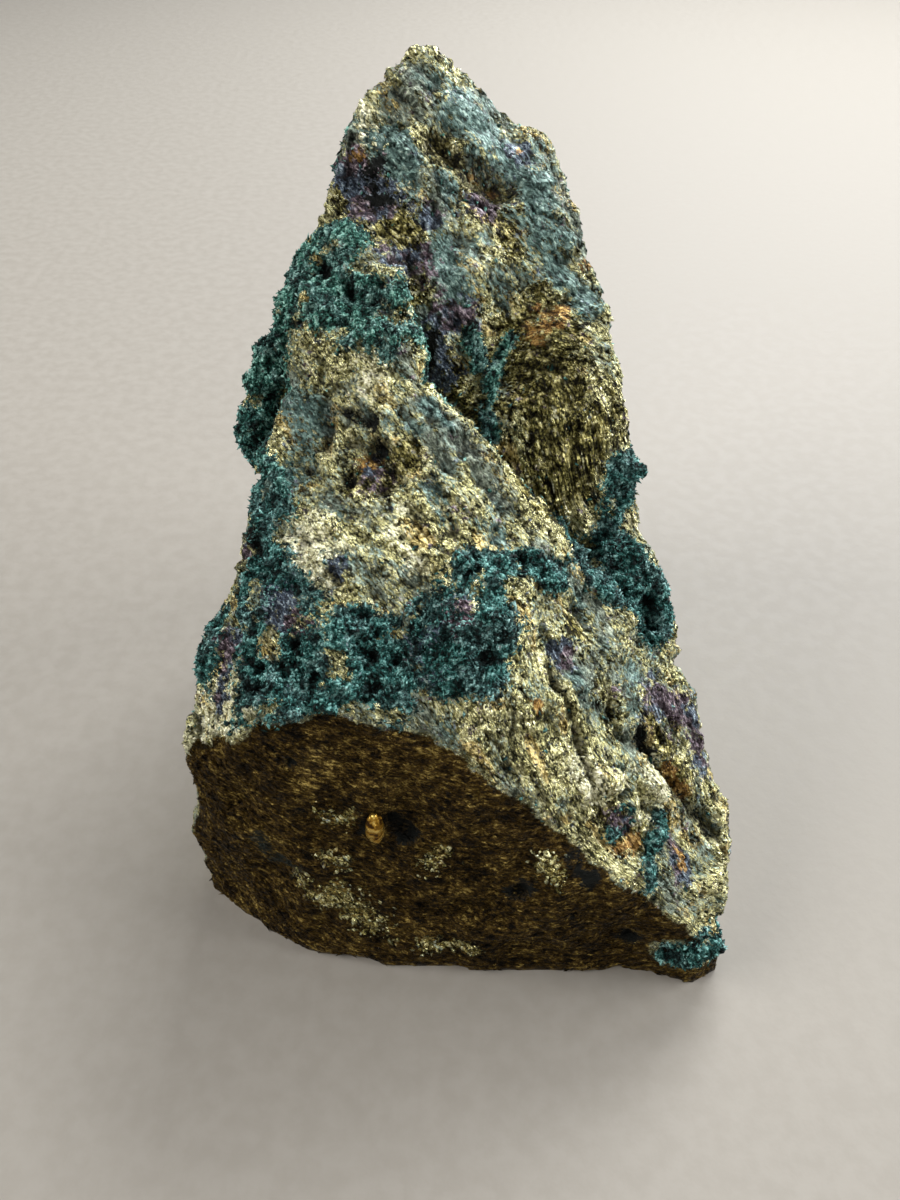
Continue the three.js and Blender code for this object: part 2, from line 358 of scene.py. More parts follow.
def zone_weights(points, normals):
    """The share of each kind of surface at each point, from 0 to 1."""
    bands = {
        "film": FILM, "bright": BRIGHT, "rust": RUST, "tarnish": TARNISH, "amber": AMBER, "teal": TEAL,
        "bare": BARE,
    }
    weights = {}
    for n, (name, rows) in enumerate(bands.items(), 1):
        weights[name] = zone(points, rows, 10 * n, edge=0.65)
    window = smoothstep(0.42, 0.60, noise(points, 1.7, SEED + 85, 3))
    opened = np.maximum(0.9 * window, zone(points, OPENINGS, 83, grain=1.2, edge=0.5))
    weights["crust"] = zone(points, CRUST, 0) * (1.0 - opened)

    across = (points[:, 0] - LOW[0]) / SPAN[0]
    brow = LOW[2] + SPAN[2] * np.interp(across, BROW[:, 0], BROW[:, 1])
    below = smoothstep(0.25, -0.25, points[:, 2] - brow + 0.5 * noise(points, 1.6, SEED + 80, 3))
    forward = smoothstep(0.1, 0.4, -normals[:, 1])
    near = smoothstep(6.0, 3.0, points[:, 1] - LOW[1] - FRONT_DEPTH * SPAN[1])
    front = below * forward * near
    weights["front"] = front * (1.0 - zone(points, CRUST[-1:], 81))
    weights["glitter"] = zone(points, GLITTER, 90, grain=1.2, edge=0.9) * front
    weights["shaded_pits"] = zone(points, SHADED_PITS, 95, grain=1.2, edge=0.8)

    # The hidden sides, the back and the foot carry the same kinds of surface in broad patches.
    weights["seen"] = smoothstep(-0.12, 0.12, normals @ TO_CAMERA)
    hidden = (1.0 - weights["seen"]) * (1.0 - front)
    broad = noise(points, 13.0, SEED + 3, 3)
    patches = noise(points, 7.0, SEED + 5, 3)
    back = {
        "crust": smoothstep(0.16, 0.34, broad),
        "film": smoothstep(-0.1, 0.3, patches),
        "bright": smoothstep(-0.5, -0.7, broad + 0.4 * patches),
        "tarnish": 0.8 * smoothstep(0.33, 0.6, -patches),
        "rust": 0.7 * smoothstep(0.52, 0.8, noise(points, 4.0, SEED + 6, 4)),
        "amber": smoothstep(0.3, 0.5, noise(points, 6.0, SEED + 7, 3)),
        "teal": smoothstep(0.1, 0.4, noise(points, 5.0, SEED + 8, 3)),
    }
    for name, share in back.items():
        weights[name] = np.maximum(weights[name], share * hidden)
    # These four show only a little in the crust, and not at all on the fresh fracture.
    for name, kept in (("bright", 0.15), ("rust", 0.15), ("amber", 0.15), ("tarnish", 0.6)):
        weights[name] = weights[name] * (1.0 - (1.0 - kept) * weights["crust"]) * (1.0 - front)
    weights["crust"] = weights["crust"] * (1.0 - weights["front"])
    return weights


def steepness(points):
    """1 where the ore's grain is steep, 0 where it slants."""
    return smoothstep(-0.8, 0.6, nearness(points, STREAKED))


def grain_at(points):
    """The way that the ore's grain runs at each point."""
    steep = steepness(points)[:, None]
    way = (1.0 - steep) * SLANT + steep * STEEP
    return way / np.linalg.norm(way, axis=1)[:, None]


def fibre_fall(across):
    """Height in mm of the front's fibres: they fall to the right at the left end and rise at the right."""
    return SPAN[0] * (-0.75 * across + 0.62 * across**2)


def grain_space(points, front):
    """Coordinates in millimetres for the textures, drawn out along the ore's grain or the front's fibres."""
    placed = points - place(*DRAWN_FROM)
    way = grain_at(points)
    drawn = placed - DRAWN_OUT * np.sum(placed * way, axis=1)[:, None] * way
    fall = fibre_fall((points[:, 0] - LOW[0]) / SPAN[0])
    fibre = np.stack(
        [FIBRE_ACROSS * points[:, 0], points[:, 1], FIBRE_UP * (points[:, 2] - fall)], axis=1
    )
    return drawn * (1.0 - front[:, None]) + fibre * front[:, None]


# ---------------------------------------------------------------- meshes and their numbers


def read_points(mesh):
    flat = np.empty(3 * len(mesh.vertices), np.float32)
    mesh.vertices.foreach_get("co", flat)
    return flat.reshape(-1, 3).astype(float) / MM


def write_points(mesh, points):
    mesh.vertices.foreach_set("co", (points * MM).astype(np.float32).ravel())
    mesh.update()


def read_normals(mesh):
    flat = np.empty(3 * len(mesh.vertices), np.float32)
    mesh.vertices.foreach_get("normal", flat)
    return flat.reshape(-1, 3).astype(float)


def store(mesh, name, values):
    """Keeps a number, or three, per vertex for the materials to read."""
    if values.ndim == 1:
        layer = mesh.attributes.new(name, "FLOAT", "POINT")
        layer.data.foreach_set("value", values.astype(np.float32))
    else:
        layer = mesh.attributes.new(name, "FLOAT_VECTOR", "POINT")
        layer.data.foreach_set("vector", values.astype(np.float32).ravel())


def new_object(name, mesh):
    made = bpy.data.objects.new(name, mesh)
    bpy.context.scene.collection.objects.link(made)
    return made


def applied(source, name):
    """The object's mesh with its modifiers applied, as a new mesh."""
    seen = source.evaluated_get(bpy.context.evaluated_depsgraph_get())
    mesh = bpy.data.meshes.new_from_object(seen)
    mesh.materials.clear()
    mesh.name = name
    return mesh


# ---------------------------------------------------------------- the ore body

BODY_STEP = 0.40  # length of the body's mesh edges
CREASE_ROUNDS = 5  # smoothing that takes the solid's own facets away
SWELL = 0.45  # height of the broad swellings
FOOT_BAND = 0.25  # what lies lower than this on the solid is its foot, and stays flat
CALM_BAND = 2.5  # the relief fades in over this height above the foot

# Cracks and ledges: half width and depth in mm, then the places that they run through.
GROOVES = [
    (0.40, 1.5, (0.64, 0.23, 0.45), (0.66, 0.21, 0.43), (0.69, 0.19, 0.39), (0.70, 0.16, 0.35)),
    (0.30, 1.1, (0.70, 0.16, 0.35), (0.72, 0.14, 0.33)),
    (0.25, 0.8, (0.63, 0.27, 0.48), (0.68, 0.25, 0.43)),
    (0.30, 1.1, (0.57, 0.25, 0.47), (0.60, 0.22, 0.44), (0.62, 0.18, 0.40)),
    (0.25, 0.8, (0.68, 0.26, 0.43), (0.71, 0.20, 0.37)),
    (0.30, 0.8, (0.75, 0.25, 0.39), (0.77, 0.20, 0.34)),
    (0.25, 0.7, (0.86, 0.27, 0.34), (0.90, 0.24, 0.27)),
    (0.60, 1.2, (0.81, 0.21, 0.32), (0.84, 0.19, 0.29), (0.87, 0.18, 0.25)),
    (0.60, 1.1, (0.87, 0.18, 0.25), (0.91, 0.17, 0.22), (0.97, 0.15, 0.17)),
    (0.50, 0.8, (0.77, 0.11, 0.27), (0.79, 0.10, 0.24), (0.78, 0.08, 0.22)),
    (0.40, 0.3, (0.59, 0.66, 0.70), (0.56, 0.64, 0.65), (0.54, 0.60, 0.62), (0.56, 0.57, 0.58)),
    (0.50, 0.9, (0.31, 0.48, 0.64), (0.35, 0.46, 0.63), (0.40, 0.42, 0.62)),
    (1.20, 1.6, (0.45, 0.86, 0.90), (0.52, 0.84, 0.87), (0.58, 0.82, 0.85)),
    (0.30, 0.7, (0.72, 0.16, 0.33), (0.75, 0.17, 0.34), (0.78, 0.155, 0.31), (0.77, 0.135, 0.285)),
    (0.30, 0.7, (0.80, 0.155, 0.29), (0.81, 0.14, 0.26), (0.85, 0.145, 0.235)),
    (0.50, 0.8, (0.29, 0.52, 0.66), (0.35, 0.49, 0.66)),
    (0.60, 0.9, (0.82, 0.22, 0.33), (0.84, 0.20, 0.30)),
]
# Nodules stand out of the surface and pits lie in it: reach and height in mm, then places.
LUMPS = [
    (1.5, 1.1, (0.75, 0.15, 0.31)),
    (2.0, 1.3, (0.83, 0.17, 0.27)),
    (0.8, 0.5, (0.84, 0.14, 0.24), (0.82, 0.09, 0.22), (0.81, 0.05, 0.20)),
    (1.3, -1.2, (0.36, 0.46, 0.64)),
    (1.2, -1.0, (0.31, 0.43, 0.61)),
    (1.0, -1.0, (0.37, 0.41, 0.61)),
    (1.1, -0.8, (0.29, 0.81, 0.88)),
    (1.0, -0.8, (0.38, 0.70, 0.79)),
    (0.8, -0.6, (0.54, 0.79, 0.84)),
    (1.2, -0.9, (0.38, 0.10, 0.28), (0.41, 0.09, 0.26)),
    (1.0, -0.8, (0.60, 0.05, 0.19)),
    (0.5, -0.5, (0.69, 0.03, 0.16)),
    (0.8, -0.6, (0.80, 0.03, 0.09)),
    (0.5, -0.5, (0.22, 0.13, 0.38)),
    (0.4, -0.4, (0.23, 0.11, 0.30)),
]


def bare_body():
    """The solid's surface in even small quads, with its facets smoothed away."""
    source = new_object("body_source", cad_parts["specimen"].data.copy())
    remesh = source.modifiers.new("even", "REMESH")
    remesh.mode = "VOXEL"
    remesh.voxel_size = BODY_STEP * MM
    smooth = source.modifiers.new("crease", "SMOOTH")
    smooth.factor = 0.5
    smooth.iterations = CREASE_ROUNDS
    mesh = applied(source, "ore_body")
    bpy.data.objects.remove(source)
    return mesh


def chipped(points, size, seed):
    """Heights of flat chips about size across that lean each their own way, from about -1 to 1."""
    _, _, way, luck = cells(points, size, seed)
    return np.sum(way * (luck - 0.5), axis=1) * 2.0 / size


def gaps(points, size, width, seed):
    """1 along the borders of about half of the cells, 0 inside them."""
    _, border, _, luck = cells(points, size, seed)
    return smoothstep(width, 0.25 * width, border) * smoothstep(0.3, 0.6, luck[:, 1])


def pits(points, size, often, seed):
    """1 in the middle of a share of the cells, 0 elsewhere."""
    middle, _, _, luck = cells(points, size, seed)
    return smoothstep(0.5 * size, 0.12 * size, middle) * smoothstep(1.0 - often, 1.15 - often, luck[:, 0])


def veiled(weights, drawn):
    """Over 0 where grey-green film covers the ore, under 0 where it is bare. It lies in torn patches."""
    clumps = 0.9 * noise(drawn, 1.5, SEED + 24, 4) + 0.3 * noise(drawn, 5.0, SEED + 28, 2)
    tinted = 0.75 * weights["film"] + 0.5 * weights["teal"]
    uncovered = 0.45 * weights["bright"] + 0.25 * weights["bare"] + 1.5 * weights["amber"]
    return clumps - 0.32 + tinted - uncovered


def relief(points, weights, drawn):
    """Height of the broken surface over the smoothed one, in millimetres."""
    crust, front = weights["crust"], weights["front"]
    plain = np.clip(1.0 - crust - front, 0.0, 1.0)
    bare = smoothstep(0.35, -0.15, weights["veil"])
    # Chips of two sizes. Bare ore stands out from under the film, and is rougher.
    height = (0.35 + 0.65 * plain) * 0.45 * chipped(points, 3.8, SEED + 30)
    height += plain * (0.12 + 0.08 * bare) * chipped(drawn, 1.3, SEED + 40)
    height += plain * 0.12 * bare
    height += plain * (0.07 + 0.04 * bare) * noise(drawn, 0.8, SEED + 44, 3)
    # Gaps between grains, and pits.
    wavy = drawn + 0.4 * noise(points, 1.5, SEED + 43, 2)[:, None]
    height -= plain * 0.35 * gaps(wavy, 2.2, 0.35, SEED + 48)
    height -= plain * 0.8 * pits(wavy, 2.0, 0.20, SEED + 51)
    height += front * (0.15 * noise(drawn, 0.8, SEED + 46, 3) + 0.15 * noise(points, 2.2, SEED + 47, 2))
    # The crust is spongy: pits of two sizes between tufts.
    height -= crust * (0.7 * pits(points, 2.8, 0.5, SEED + 50) + 0.8 * pits(points, 1.5, 0.6, SEED + 54))
    height += crust * (0.30 + 0.8 * noise(points, 1.7, SEED + 58, 4))
    for width, depth, *stops in GROOVES:
        distance = distance_to(points + 0.25 * noise(points, 1.4, SEED + 62, 2)[:, None], stops)
        height -= depth * np.exp(-((distance / width) ** 2))
    for reach, rise, *stops in LUMPS:
        height += rise * smoothstep(reach, 0.35 * reach, distance_to(points, stops))
    return height


def ore_body():
    """The body with its relief, and the weights at each of its points."""
    mesh = bare_body()
    points, normals = read_points(mesh), read_normals(mesh)
    weights = zone_weights(points, normals)
    drawn = grain_space(points, weights["front"])
    weights["veil"] = veiled(weights, drawn)
    height = relief(points, weights, drawn)
    swell = SWELL * noise(points, 4.5, SEED + 20, 3)
    calm = smoothstep(0.0, CALM_BAND, points[:, 2])
    moved = points + normals * ((height + swell) * calm)[:, None]
    on_foot = points[:, 2] < FOOT_BAND
    moved[:, 2] = np.where(on_foot, 0.0, np.maximum(moved[:, 2], 0.0))
    write_points(mesh, moved)
    # How deep each point lies in pits, cracks and grooves; the materials paint shade there.
    weights["low"] = smoothstep(-0.12, -0.65, height) * (1.0 - 0.5 * weights["amber"])
    for name in KINDS:
        store(mesh, name, weights[name])
    store(mesh, "drawn", drawn)
    return new_object("ore_body", mesh), weights


# ---------------------------------------------------------------- grains

ORE_GRAIN = 0.15  # roughly half the width of a middling grain, and the same for the other sorts
CRYSTAL = 0.15
CRUMB = 0.11
SLIVER = 0.12
GRAIN_FLOOR = 0.02  # no grain reaches lower than this above the table
HIDDEN_GRAINS = 0.4  # how many grains a hidden side has for each one on a seen side
OCTAHEDRON = (
    np.array([(1, 0, 0), (0, 1, 0), (-1, 0, 0), (0, -1, 0), (0, 0, 1), (0, 0, -1)], float),
    np.array([(0, 1, 4), (1, 2, 4), (2, 3, 4), (3, 0, 4), (1, 0, 5), (2, 1, 5), (3, 2, 5), (0, 3, 5)]),
)


class Ground:
    """The body's triangles, to set grains on."""

    def __init__(self, mesh, weights):
        mesh.calc_loop_triangles()
        corners = np.empty(3 * len(mesh.loop_triangles), np.int32)
        mesh.loop_triangles.foreach_get("vertices", corners)
        self.corners = corners.reshape(-1, 3)
        self.points = read_points(mesh)
        self.normals = read_normals(mesh)
        self.weights = weights
        a, b, c = (self.points[self.corners[:, n]] for n in range(3))
        self.areas = 0.5 * np.linalg.norm(np.cross(b - a, c - a), axis=1)

    def scatter(self, count, share, draw):
        """Spots spread over the body in proportion to share, with the normal and weights there."""
        wanted = share * smoothstep(0.3, 0.9, self.points[:, 2]) * (
            HIDDEN_GRAINS + (1.0 - HIDDEN_GRAINS) * self.weights["seen"]
        )
        chance = np.cumsum(self.areas * wanted[self.corners].mean(axis=1))
        picks = np.searchsorted(chance, (np.arange(count) + draw.random(count)) / count * chance[-1])
        picked = self.corners[np.minimum(picks, len(self.corners) - 1)]
        mix = draw.dirichlet((1.0, 1.0, 1.0), count)[:, :, None]
        spots = np.sum(self.points[picked] * mix, axis=1)
        normals = np.sum(self.normals[picked] * mix, axis=1)
        normals /= np.linalg.norm(normals, axis=1)[:, None]
        here = {}
        for name, values in self.weights.items():
            here[name] = np.sum(values[picked] * mix[:, :, 0], axis=1)
        return spots, normals, here


def uneven(count, middle, spread, draw):
    """Sizes around a middle one, with no giants."""
    return middle * np.exp(spread * np.clip(draw.normal(size=count), -2.0, 1.7))


def axes_on(normals, along, spread, tilt, draw):
    """Three axes for each grain: the first near the direction along, the last near the normal."""
    count = len(normals)
    up = normals + tilt * draw.normal(size=(count, 3))
    up /= np.linalg.norm(up, axis=1)[:, None]
    wanted = along + spread * draw.normal(size=(count, 3))
    first = wanted - np.sum(wanted * up, axis=1)[:, None] * up
    first /= np.linalg.norm(first, axis=1)[:, None] + 1e-9
    return np.stack([first, np.cross(up, first), up], axis=1)


def joined_grains(name, spots, axes, sizes, kinds, draw, roughen=0.3):
    """One mesh of closed uneven grains, with the kinds of surface of their spots stored on them."""
    corners, faces = OCTAHEDRON
    count, each = len(spots), len(corners)
    local = (corners + draw.uniform(-roughen, roughen, (count, each, 3))) * sizes[:, None, :]
    points = (np.einsum("nka,nab->nkb", local, axes) + spots[:, None, :]).reshape(-1, 3)
    points[:, 2] = np.maximum(points[:, 2], GRAIN_FLOOR)
    triangles = (faces[None] + each * np.arange(count)[:, None, None]).reshape(-1, 3)
    mesh = bpy.data.meshes.new(name)
    mesh.vertices.add(len(points))
    mesh.loops.add(3 * len(triangles))
    mesh.polygons.add(len(triangles))
    mesh.loops.foreach_set("vertex_index", triangles.astype(np.int32).ravel())
    mesh.polygons.foreach_set("loop_start", np.arange(0, 3 * len(triangles), 3, dtype=np.int32))
    write_points(mesh, points)
    mesh.validate()
    for kind in KINDS:
        store(mesh, kind, np.repeat(kinds[kind], each))
    store(mesh, "luck", np.repeat(draw.random(count), each))
    store(mesh, "drawn", grain_space(points, np.repeat(kinds["front"], each)))
    return new_object(name, mesh)


def ore_grains(name, ground, count, seed):
    """Flat chalcopyrite grains that lie along the ore's grain, most of them where it is bare."""
    draw = np.random.default_rng(seed)
    weights = ground.weights
    bare = np.clip(1.0 - weights["front"] - 0.9 * weights["crust"], 0.0, 1.0)
    share = bare * (0.35 + 0.65 * smoothstep(0.3, -0.1, weights["veil"])) * (1.0 - 0.7 * weights["low"])
    spots, normals, kinds = ground.scatter(count, share, draw)
    axes = axes_on(normals, grain_at(spots), 0.35, 0.28, draw)
    size = uneven(count, ORE_GRAIN, 0.4, draw)
    sizes = np.stack([1.5 * size, 0.9 * size, 0.62 * size], axis=1)
    return joined_grains(name, spots - normals * (0.35 * sizes[:, 2:]), axes, sizes, kinds, draw)


def bright_crystals(name, ground, count, seed):
    """Larger clean crystals in the pale patches and where the fresh fracture glitters."""
    draw = np.random.default_rng(seed)
    weights = ground.weights
    share = 0.3 * smoothstep(0.3, 0.9, weights["bright"]) + 1.2 * weights["glitter"] ** 2
    spots, normals, kinds = ground.scatter(count, share, draw)
    axes = axes_on(normals, grain_at(spots), 1.0, 0.75, draw)
    size = uneven(count, CRYSTAL, 0.6, draw)
    sizes = np.stack([1.3 * size, size, 0.5 * size], axis=1)
    kinds["amber"] = np.where(draw.random(count) < 0.5, 1.4 * kinds["front"], 0.0)
    kinds["veil"] = np.full(count, -0.6)
    kinds["front"] = np.zeros(count)
    kinds["low"] = np.zeros(count)
    return joined_grains(name, spots, axes, sizes, kinds, draw)


def crust_grains(name, ground, count, seed):
    """Crumbs and splinters of malachite."""
    draw = np.random.default_rng(seed)
    weights = ground.weights
    low, crust, tarnish = weights["low"], weights["crust"], weights["tarnish"]
    dust = (0.004 + 0.06 * low) * (1.0 - crust) * (1.0 - weights["front"])
    share = crust * (1.0 - 0.85 * low) * (1.0 - 0.8 * tarnish) + dust
    spots, normals, kinds = ground.scatter(count, share, draw)
    axes = axes_on(normals, np.zeros(3), 1.0, 0.9, draw)
    size = uneven(count, CRUMB, 0.4, draw)
    sizes = np.stack([2.0 * size, 0.9 * size, 0.8 * size], axis=1)
    return joined_grains(name, spots + normals * (0.2 * size[:, None]), axes, sizes, kinds, draw, 0.4)


def front_grains(name, ground, count, seed):
    """Slivers along the fibres of the fresh fracture."""
    draw = np.random.default_rng(seed)
    weights = ground.weights
    share = weights["front"] * (1.0 - 0.8 * weights["shaded_pits"])
    spots, normals, kinds = ground.scatter(count, share, draw)
    across = (spots[:, 0] - LOW[0]) / SPAN[0]
    ahead = fibre_fall(across + 0.01) - fibre_fall(across)
    along = np.stack([np.full(count, 0.01 * SPAN[0]), np.zeros(count), ahead], axis=1)
    along /= np.linalg.norm(along, axis=1)[:, None]
    axes = axes_on(normals, along, 0.25, 0.25, draw)
    size = uneven(count, SLIVER, 0.35, draw)
    sizes = np.stack([2.4 * size, 0.8 * size, 0.6 * size], axis=1)
    return joined_grains(name, spots, axes, sizes, kinds, draw)


NUGGET = ((0.35, 0.10, 0.245), (0.35, 0.10, 0.295))  # the ends of its axis
NUGGET_ROUND = 0.85  # half its width in mm
NUGGET_CAP = 0.6  # how far it reaches past the ends of its axis


def nugget(name, ground):
    """The one rounded lump of gold in the fresh fracture: a ball drawn out and broken up."""
    ball = bpy.data.meshes.new(name)
    made = bmesh.new()
    bmesh.ops.create_icosphere(made, subdivisions=4, radius=MM)
    made.to_mesh(ball)
    made.free()
    low_end, high_end = (place(*end) for end in NUGGET)
    nearest = np.argmin(np.linalg.norm(ground.points - 0.5 * (low_end + high_end), axis=1))
    middle = ground.points[nearest] + 0.1 * ground.normals[nearest]
    half_height = 0.5 * np.linalg.norm(high_end - low_end) + NUGGET_CAP
    from_middle = read_points(ball) * (NUGGET_ROUND, 0.8 * NUGGET_ROUND, half_height)
    rough = 1.0 + 0.12 * noise(from_middle, 0.8, SEED + 70, 3)
    points = middle + rough[:, None] * from_middle
    write_points(ball, points)
    return new_object(name, ball)


# ---------------------------------------------------------------- materials


class Shader:
    """Builds one material's nodes. An input is a number, a colour or another node's output."""

    def __init__(self, name):
        self.material = bpy.data.materials.new(name)
        self.material.use_nodes = True
        self.tree = self.material.node_tree
        self.tree.nodes.clear()

    def node(self, kind, inputs=None, **settings):
        made = self.tree.nodes.new(kind)
        for key, value in settings.items():
            setattr(made, key, value)
        for key, value in (inputs or {}).items():
            if isinstance(value, bpy.types.NodeSocket):
                self.tree.links.new(value, made.inputs[key])
            else:
                made.inputs[key].default_value = value
        return made

    def place(self):
        """The place in the object, in millimetres."""
        metres = self.node("ShaderNodeTexCoord").outputs["Object"]
        return self.vector("SCALE", metres, scale=1.0 / MM)

    def vector(self, operation, a, b=None, scale=None):
        inputs = {0: a}
        if b is not None:
            inputs[1] = b
        if scale is not None:
            inputs["Scale"] = scale
        return self.node("ShaderNodeVectorMath", inputs, operation=operation).outputs["Vector"]

    def math(self, operation, a, b=0.0, c=0.0):
        return self.node("ShaderNodeMath", {0: a, 1: b, 2: c}, operation=operation).outputs[0]

    def total(self, start, *terms):
        """A number plus each value times its weight."""
        for value, weight in terms:
            start = self.math("MULTIPLY_ADD", value, weight, start)
        return start

    def stored(self, name):
        return self.node("ShaderNodeAttribute", attribute_name=name).outputs["Fac"]

    def stored_place(self, name):
        return self.node("ShaderNodeAttribute", attribute_name=name).outputs["Vector"]

    def noise(self, where, per_mm, detail=3.0, roughness=0.6):
        """Noise spread over 0 to 1."""
        inputs = {"Vector": where, "Scale": per_mm, "Detail": detail, "Roughness": roughness}
        return self.remap(self.node("ShaderNodeTexNoise", inputs).outputs[0], 0.30, 0.70)

    def threads(self, where, per_mm, detail=5.0):
        """Thin winding threads: 1 along them, 0 away from them."""
        off = self.math("ABSOLUTE", self.total(-1.0, (self.noise(where, per_mm, detail, 0.62), 2.0)))
        return self.remap(off, 0.7, 0.0)

    def cells(self, where, per_mm):
        """Voronoi cells: a colour for each, and the distance from its middle."""
        made = self.node("ShaderNodeTexVoronoi", {"Vector": where, "Scale": per_mm})
        return made.outputs["Color"], made.outputs["Distance"]

    def ramp(self, factor, *stops):
        """A colour ramp through (position, colour) stops."""
        made = self.node("ShaderNodeValToRGB", {0: factor})
        elements = made.color_ramp.elements
        for _ in range(len(stops) - 2):
            elements.new(0.5)
        for element, (position, colour) in zip(elements, stops):
            element.position = position
            element.color = (*colour, 1.0)
        return made.outputs[0]

    def remap(self, value, low, high, to_low=0.0, to_high=1.0):
        inputs = {"Value": value, 1: low, 2: high, 3: to_low, 4: to_high}
        return self.node("ShaderNodeMapRange", inputs, interpolation_type="SMOOTHSTEP").outputs[0]

    def mix(self, factor, a, b):
        """Colour b over colour a."""
        return self.node("ShaderNodeMix", {0: factor, 6: a, 7: b}, data_type="RGBA").outputs[2]

    def lerp(self, factor, a, b):
        """Number b over number a."""
        return self.node("ShaderNodeMix", {0: factor, 2: a, 3: b}, data_type="FLOAT").outputs[0]

    def first(self, colour):
        """A colour's first number."""
        return self.node("ShaderNodeSeparateColor", {0: colour}).outputs[0]

    def lean(self, colour):
        """A cell's own way to lean, from its random colour."""
        return self.vector("SCALE", self.vector("SUBTRACT", colour, (0.5, 0.5, 0.5)), scale=0.6)

    def tilted(self, lean):
        """The surface's normal, leaning by the vector lean."""
        facing = self.node("ShaderNodeNewGeometry").outputs["Normal"]
        return self.vector("NORMALIZE", self.vector("ADD", facing, lean))

    def bump(self, height, strength, distance_mm, normal=None):
        inputs = {"Strength": strength, "Distance": distance_mm * MM, "Height": height}
        if normal is not None:
            inputs["Normal"] = normal
        return self.node("ShaderNodeBump", inputs).outputs[0]

    def finish(self, colour, metallic, roughness, gloss, normal):
        inputs = {
            "Base Color": colour, "Metallic": metallic, "Roughness": roughness,
            "Specular IOR Level": gloss, "Normal": normal,
        }
        shade = self.node("ShaderNodeBsdfPrincipled", inputs)
        self.node("ShaderNodeOutputMaterial", {"Surface": shade.outputs[0]})
        return self.material


SHADOW = (0.005, 0.006, 0.005, 1.0)  # painted shade: the near-black that pits, cracks and grooves are darkened towards
FRONT_FILM = (0.030, 0.039, 0.034, 1.0)  # the grey film on the fresh fracture, its darkness partly painted shade
GREEN_FROM, GREEN_ABOVE = 34.0, 44.0  # the malachite turns greener between these heights
FLAKES_PER_MM, PLATES_PER_MM, LUMPS_PER_MM = 5.0, 2.0, 0.8  # the ore's three sizes of cells


def malachite_colour(s, tops, spot):
    """Malachite, greener high up: lighter towards the tops of its tufts as a painted highlight, almost black
    between them as painted shade.

    Dusty patches of it are greyer.
    """
    blue_green = s.ramp(
        tops,
        (0.24, (0.0004, 0.004, 0.003)), (0.43, (0.005, 0.032, 0.028)),
        (0.60, (0.038, 0.165, 0.148)), (0.80, (0.32, 0.63, 0.59)),
    )
    green = s.ramp(
        tops,
        (0.22, (0.0005, 0.005, 0.0035)), (0.41, (0.013, 0.058, 0.045)),
        (0.58, (0.082, 0.27, 0.215)), (0.77, (0.46, 0.78, 0.68)),
    )
    dusty = s.ramp(
        tops,
        (0.24, (0.001, 0.004, 0.004)), (0.43, (0.014, 0.032, 0.032)),
        (0.60, (0.070, 0.145, 0.142)), (0.80, (0.38, 0.56, 0.54)),
    )
    height = s.node("ShaderNodeSeparateXYZ", {0: spot}).outputs[2]
    clean = s.mix(s.remap(height, GREEN_FROM, GREEN_ABOVE), blue_green, green)
    return s.mix(s.remap(s.noise(spot, 0.40, 4.0, 0.65), 0.45, 0.65, 0.0, 0.6), clean, dusty)


